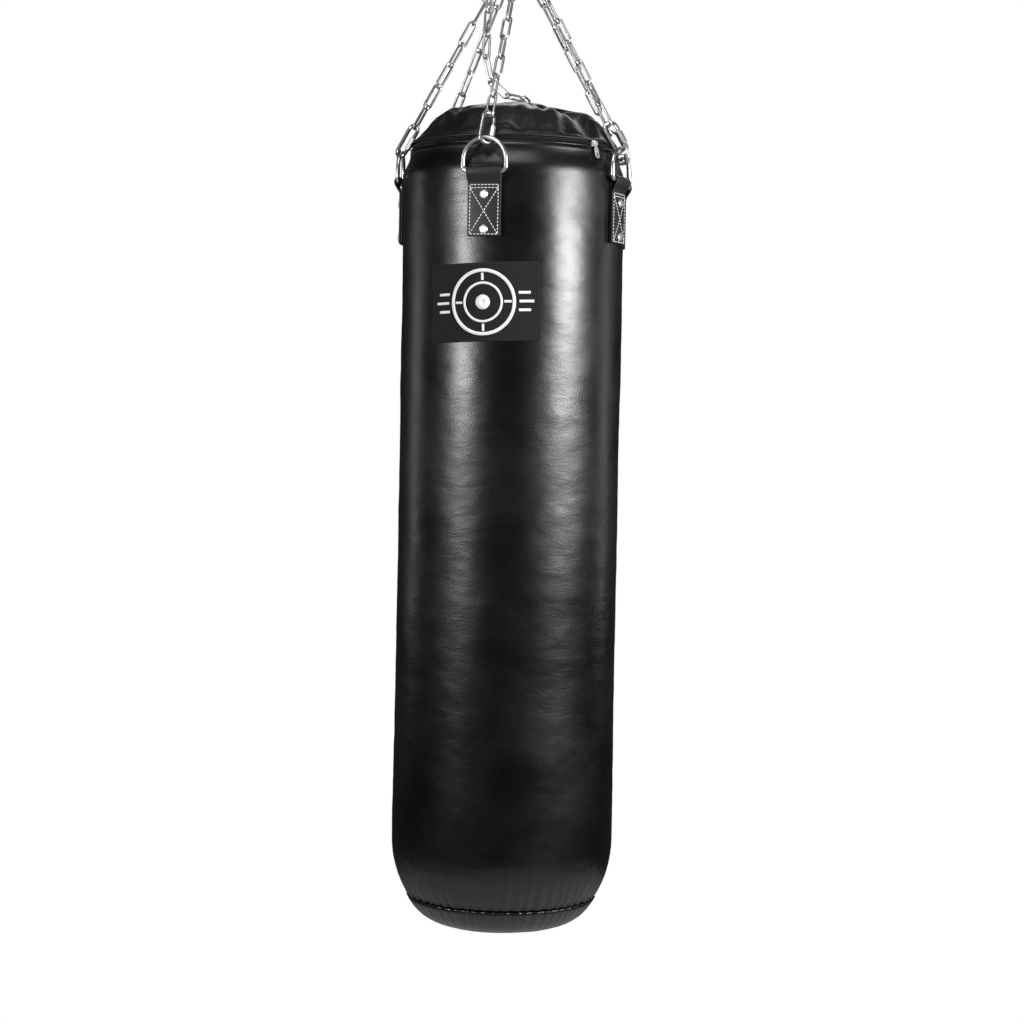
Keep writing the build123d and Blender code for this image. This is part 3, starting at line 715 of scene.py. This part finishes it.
# %% [markdown]
# ## Patch
# The patch is a twill rectangle sewn round its edge, a few degrees out of level. Its emblem is a plain practice
# target in satin stitch: two rings, a dot and four ticks, with three short bars on either side. Everything is drawn flat first and
# then wrapped on the bag.

# %% Patch and emblem
PATCH_W, PATCH_H, PATCH_DEPTH, PATCH_TILT = 173 * MM, 118 * MM, 246 * MM, radians(2.0)


def wrap(bm, out):
    """Wrap flat work, drawn in X and Y about the patch's middle, on the bag."""
    for vert in bm.verts:
        x = vert.co.x * cos(PATCH_TILT) - vert.co.y * sin(PATCH_TILT)
        y = vert.co.x * sin(PATCH_TILT) + vert.co.y * cos(PATCH_TILT)
        vert.co = on_bag(degrees(x / SIDE_R), PATCH_DEPTH - y, out + vert.co.z)


def flat_grid(bm, middle, width, height, cell=3.0):
    """Rectangle of small squares."""
    place = Matrix.Translation((*middle, 0)) @ Matrix.Diagonal((width, height, 1, 1))
    bmesh.ops.create_grid(
        bm,
        x_segments=max(1, round(width / (cell * MM))),
        y_segments=max(1, round(height / (cell * MM))),
        size=0.5,
        matrix=place,
    )


def flat_ring(bm, inner, outer):
    """Flat ring from a short edge spun about the middle."""
    ends = [bm.verts.new((radius, 0, 0)) for radius in (inner, (inner + outer) / 2, outer)]
    edges = [bm.edges.new(pair) for pair in zip(ends, ends[1:])]
    bmesh.ops.spin(bm, geom=ends + edges, axis=(0, 0, 1), cent=(0, 0, 0), steps=96, angle=2 * pi, use_merge=True)


bm = bmesh.new()
flat_grid(bm, (0, 0), PATCH_W, PATCH_H, 2.5)
wrap(bm, 1.0 * MM)
bm.normal_update()
outward_facing(bm)
patch = finish_piece(bm, "sewn_patch", patch_cloth)
cloth = patch.modifiers.new("cloth", "SOLIDIFY")
cloth.thickness, cloth.offset = 1.1 * MM, -0.6
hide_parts("label_patch")

bm = bmesh.new()
flat_ring(bm, 45 * MM, 50 * MM)
flat_ring(bm, 27 * MM, 30.5 * MM)
flat_ring(bm, 0.05 * MM, 11 * MM)
for quarter in range(4):
    before = set(bm.verts)
    flat_grid(bm, (38 * MM, 0), 11 * MM, 3.6 * MM, 1.2)
    fresh = [vert for vert in bm.verts if vert not in before]
    bmesh.ops.rotate(bm, verts=fresh, cent=(0, 0, 0), matrix=Matrix.Rotation(pi / 2 * quarter, 3, "Z"))
for side in (-1, 1):
    for row in (-1, 0, 1):
        flat_grid(bm, (side * (66 - 3 * abs(row)) * MM, row * 13 * MM), (22 - 4 * abs(row)) * MM, 4 * MM, 1.4)
bmesh.ops.remove_doubles(bm, verts=bm.verts, dist=1e-6)
wrap(bm, 1.35 * MM)
bm.normal_update()
outward_facing(bm)
emblem = finish_piece(bm, "target_emblem", embroidery)
raised = emblem.modifiers.new("thread", "SOLIDIFY")
raised.thickness, raised.offset = 0.7 * MM, 1

bm = bmesh.new()
corner_x, corner_y = PATCH_W / 2 - 2.5 * MM, PATCH_H / 2 - 2.5 * MM
corners = [(-corner_x, -corner_y), (corner_x, -corner_y), (corner_x, corner_y), (-corner_x, corner_y)]
for start, end in zip(corners, corners[1:] + corners[:1]):
    count = round(hypot(end[0] - start[0], end[1] - start[1]) / (4 * MM))
    flat = bmesh.new()
    for i in range(count + 1):
        flat.verts.new((start[0] + (end[0] - start[0]) * i / count, start[1] + (end[1] - start[1]) * i / count, 0))
    wrap(flat, 1.4 * MM)
    points = [vert.co.copy() for vert in flat.verts]
    flat.free()
    stitch_row(bm, points, [Vector((p.x, p.y, 0)).normalized() for p in points], width=0.6, height=0.45)
sewn = finish_piece(bm, "patch_stitches", black_thread)

# %% [markdown]
# ## Studio
# The bag hangs in a white studio. Two tall soft boxes stand at either side, a narrow one on the left and a broad one
# high on the right, so the leather shows two soft upright bands. The camera is level with the upper part of the bag.


# %% Floor, lights and camera
def soft_box(name, angle, height, distance, size, power, aim):
    """Rectangular light at an angle round the bag, turned towards a height on its axis."""
    lamp = bpy.data.lights.new(name, "AREA")
    lamp.shape, lamp.size, lamp.size_y, lamp.energy = "RECTANGLE", *size, power
    holder = bpy.data.objects.new(name, lamp)
    spot = Vector((distance * sin(radians(angle)), -distance * cos(radians(angle)), height))
    holder.matrix_world = Matrix.Translation(spot) @ (Vector((0, 0, aim)) - spot).to_track_quat("-Z", "Y").to_matrix().to_4x4()
    bpy.context.scene.collection.objects.link(holder)


VIEW_ANGLE = 14.5
soft_box("left_box", VIEW_ANGLE - 49, RIM - 0.12, 2.3, (0.42, 0.62), 34, RIM - 0.3)
soft_box("right_box", VIEW_ANGLE + 58, RIM + 0.02, 2.4, (1.05, 0.6), 92, RIM - 0.2)
soft_box("top_box", VIEW_ANGLE - 10, RIM + 1.7, 1.3, (1.4, 0.9), 22, RIM + 0.2)
soft_box("back_box", VIEW_ANGLE + 170, RIM + 1.0, 2.0, (1.6, 0.7), 16, RIM + 0.1)
for side in (-1, 1):
    soft_box(f"edge_box_{side}", VIEW_ANGLE + side * 112, RIM - 0.3, 2.2, (0.3, 1.1), 3, RIM - 0.3)

world = bpy.data.worlds.new("white_studio")
bpy.context.scene.world = world
world.use_nodes = True
sky = world.node_tree
seen = sky.nodes["Background"]
seen.inputs["Color"].default_value = (1, 1, 1, 1)
seen.inputs["Strength"].default_value = 1.0
around = add_node(sky, "ShaderNodeBackground", values={"Color": (1, 1, 1, 1), "Strength": 0.02})
path = add_node(sky, "ShaderNodeLightPath")
both = add_node(
    sky,
    "ShaderNodeMixShader",
    links={"Fac": (path, "Is Camera Ray")},
)
sky.links.new(around.outputs[0], both.inputs[1])
sky.links.new(seen.outputs[0], both.inputs[2])
sky.links.new(both.outputs[0], sky.nodes["World Output"].inputs["Surface"])

bm = bmesh.new()
bmesh.ops.create_circle(bm, cap_ends=True, segments=96, radius=2.5, matrix=Matrix.Translation((0, 0, BOTTOM - 0.9)))
mesh = bpy.data.meshes.new("studio_floor")
bm.to_mesh(mesh)
bm.free()
pale, tree, shader = new_material("pale_floor")
shader.inputs["Base Color"].default_value = linear("#e9e8e6")
shader.inputs["Roughness"].default_value = 0.8
mesh.materials.append(pale)
floor = bpy.data.objects.new("studio_floor", mesh)
bpy.context.scene.collection.objects.link(floor)

LENS, FAR, EYE = 76.5, 3.43, RIM - 0.43
PITCH, PAN, ROLL = radians(2.27), radians(0.11), radians(1.1)
lens = bpy.data.cameras.new("camera")
lens.lens, lens.sensor_width = LENS, 36
camera = bpy.data.objects.new("camera", lens)
turn = radians(VIEW_ANGLE)
stand = Vector((FAR * sin(turn), -FAR * cos(turn), EYE))
upright = Matrix.Rotation(turn - PAN, 4, "Z") @ Matrix.Rotation(pi / 2 - PITCH, 4, "X") @ Matrix.Rotation(ROLL, 4, "Z")
camera.matrix_world = Matrix.Translation(stand) @ upright
bpy.context.scene.collection.objects.link(camera)
bpy.context.scene.camera = camera
bpy.context.scene.view_settings.view_transform = "Standard"
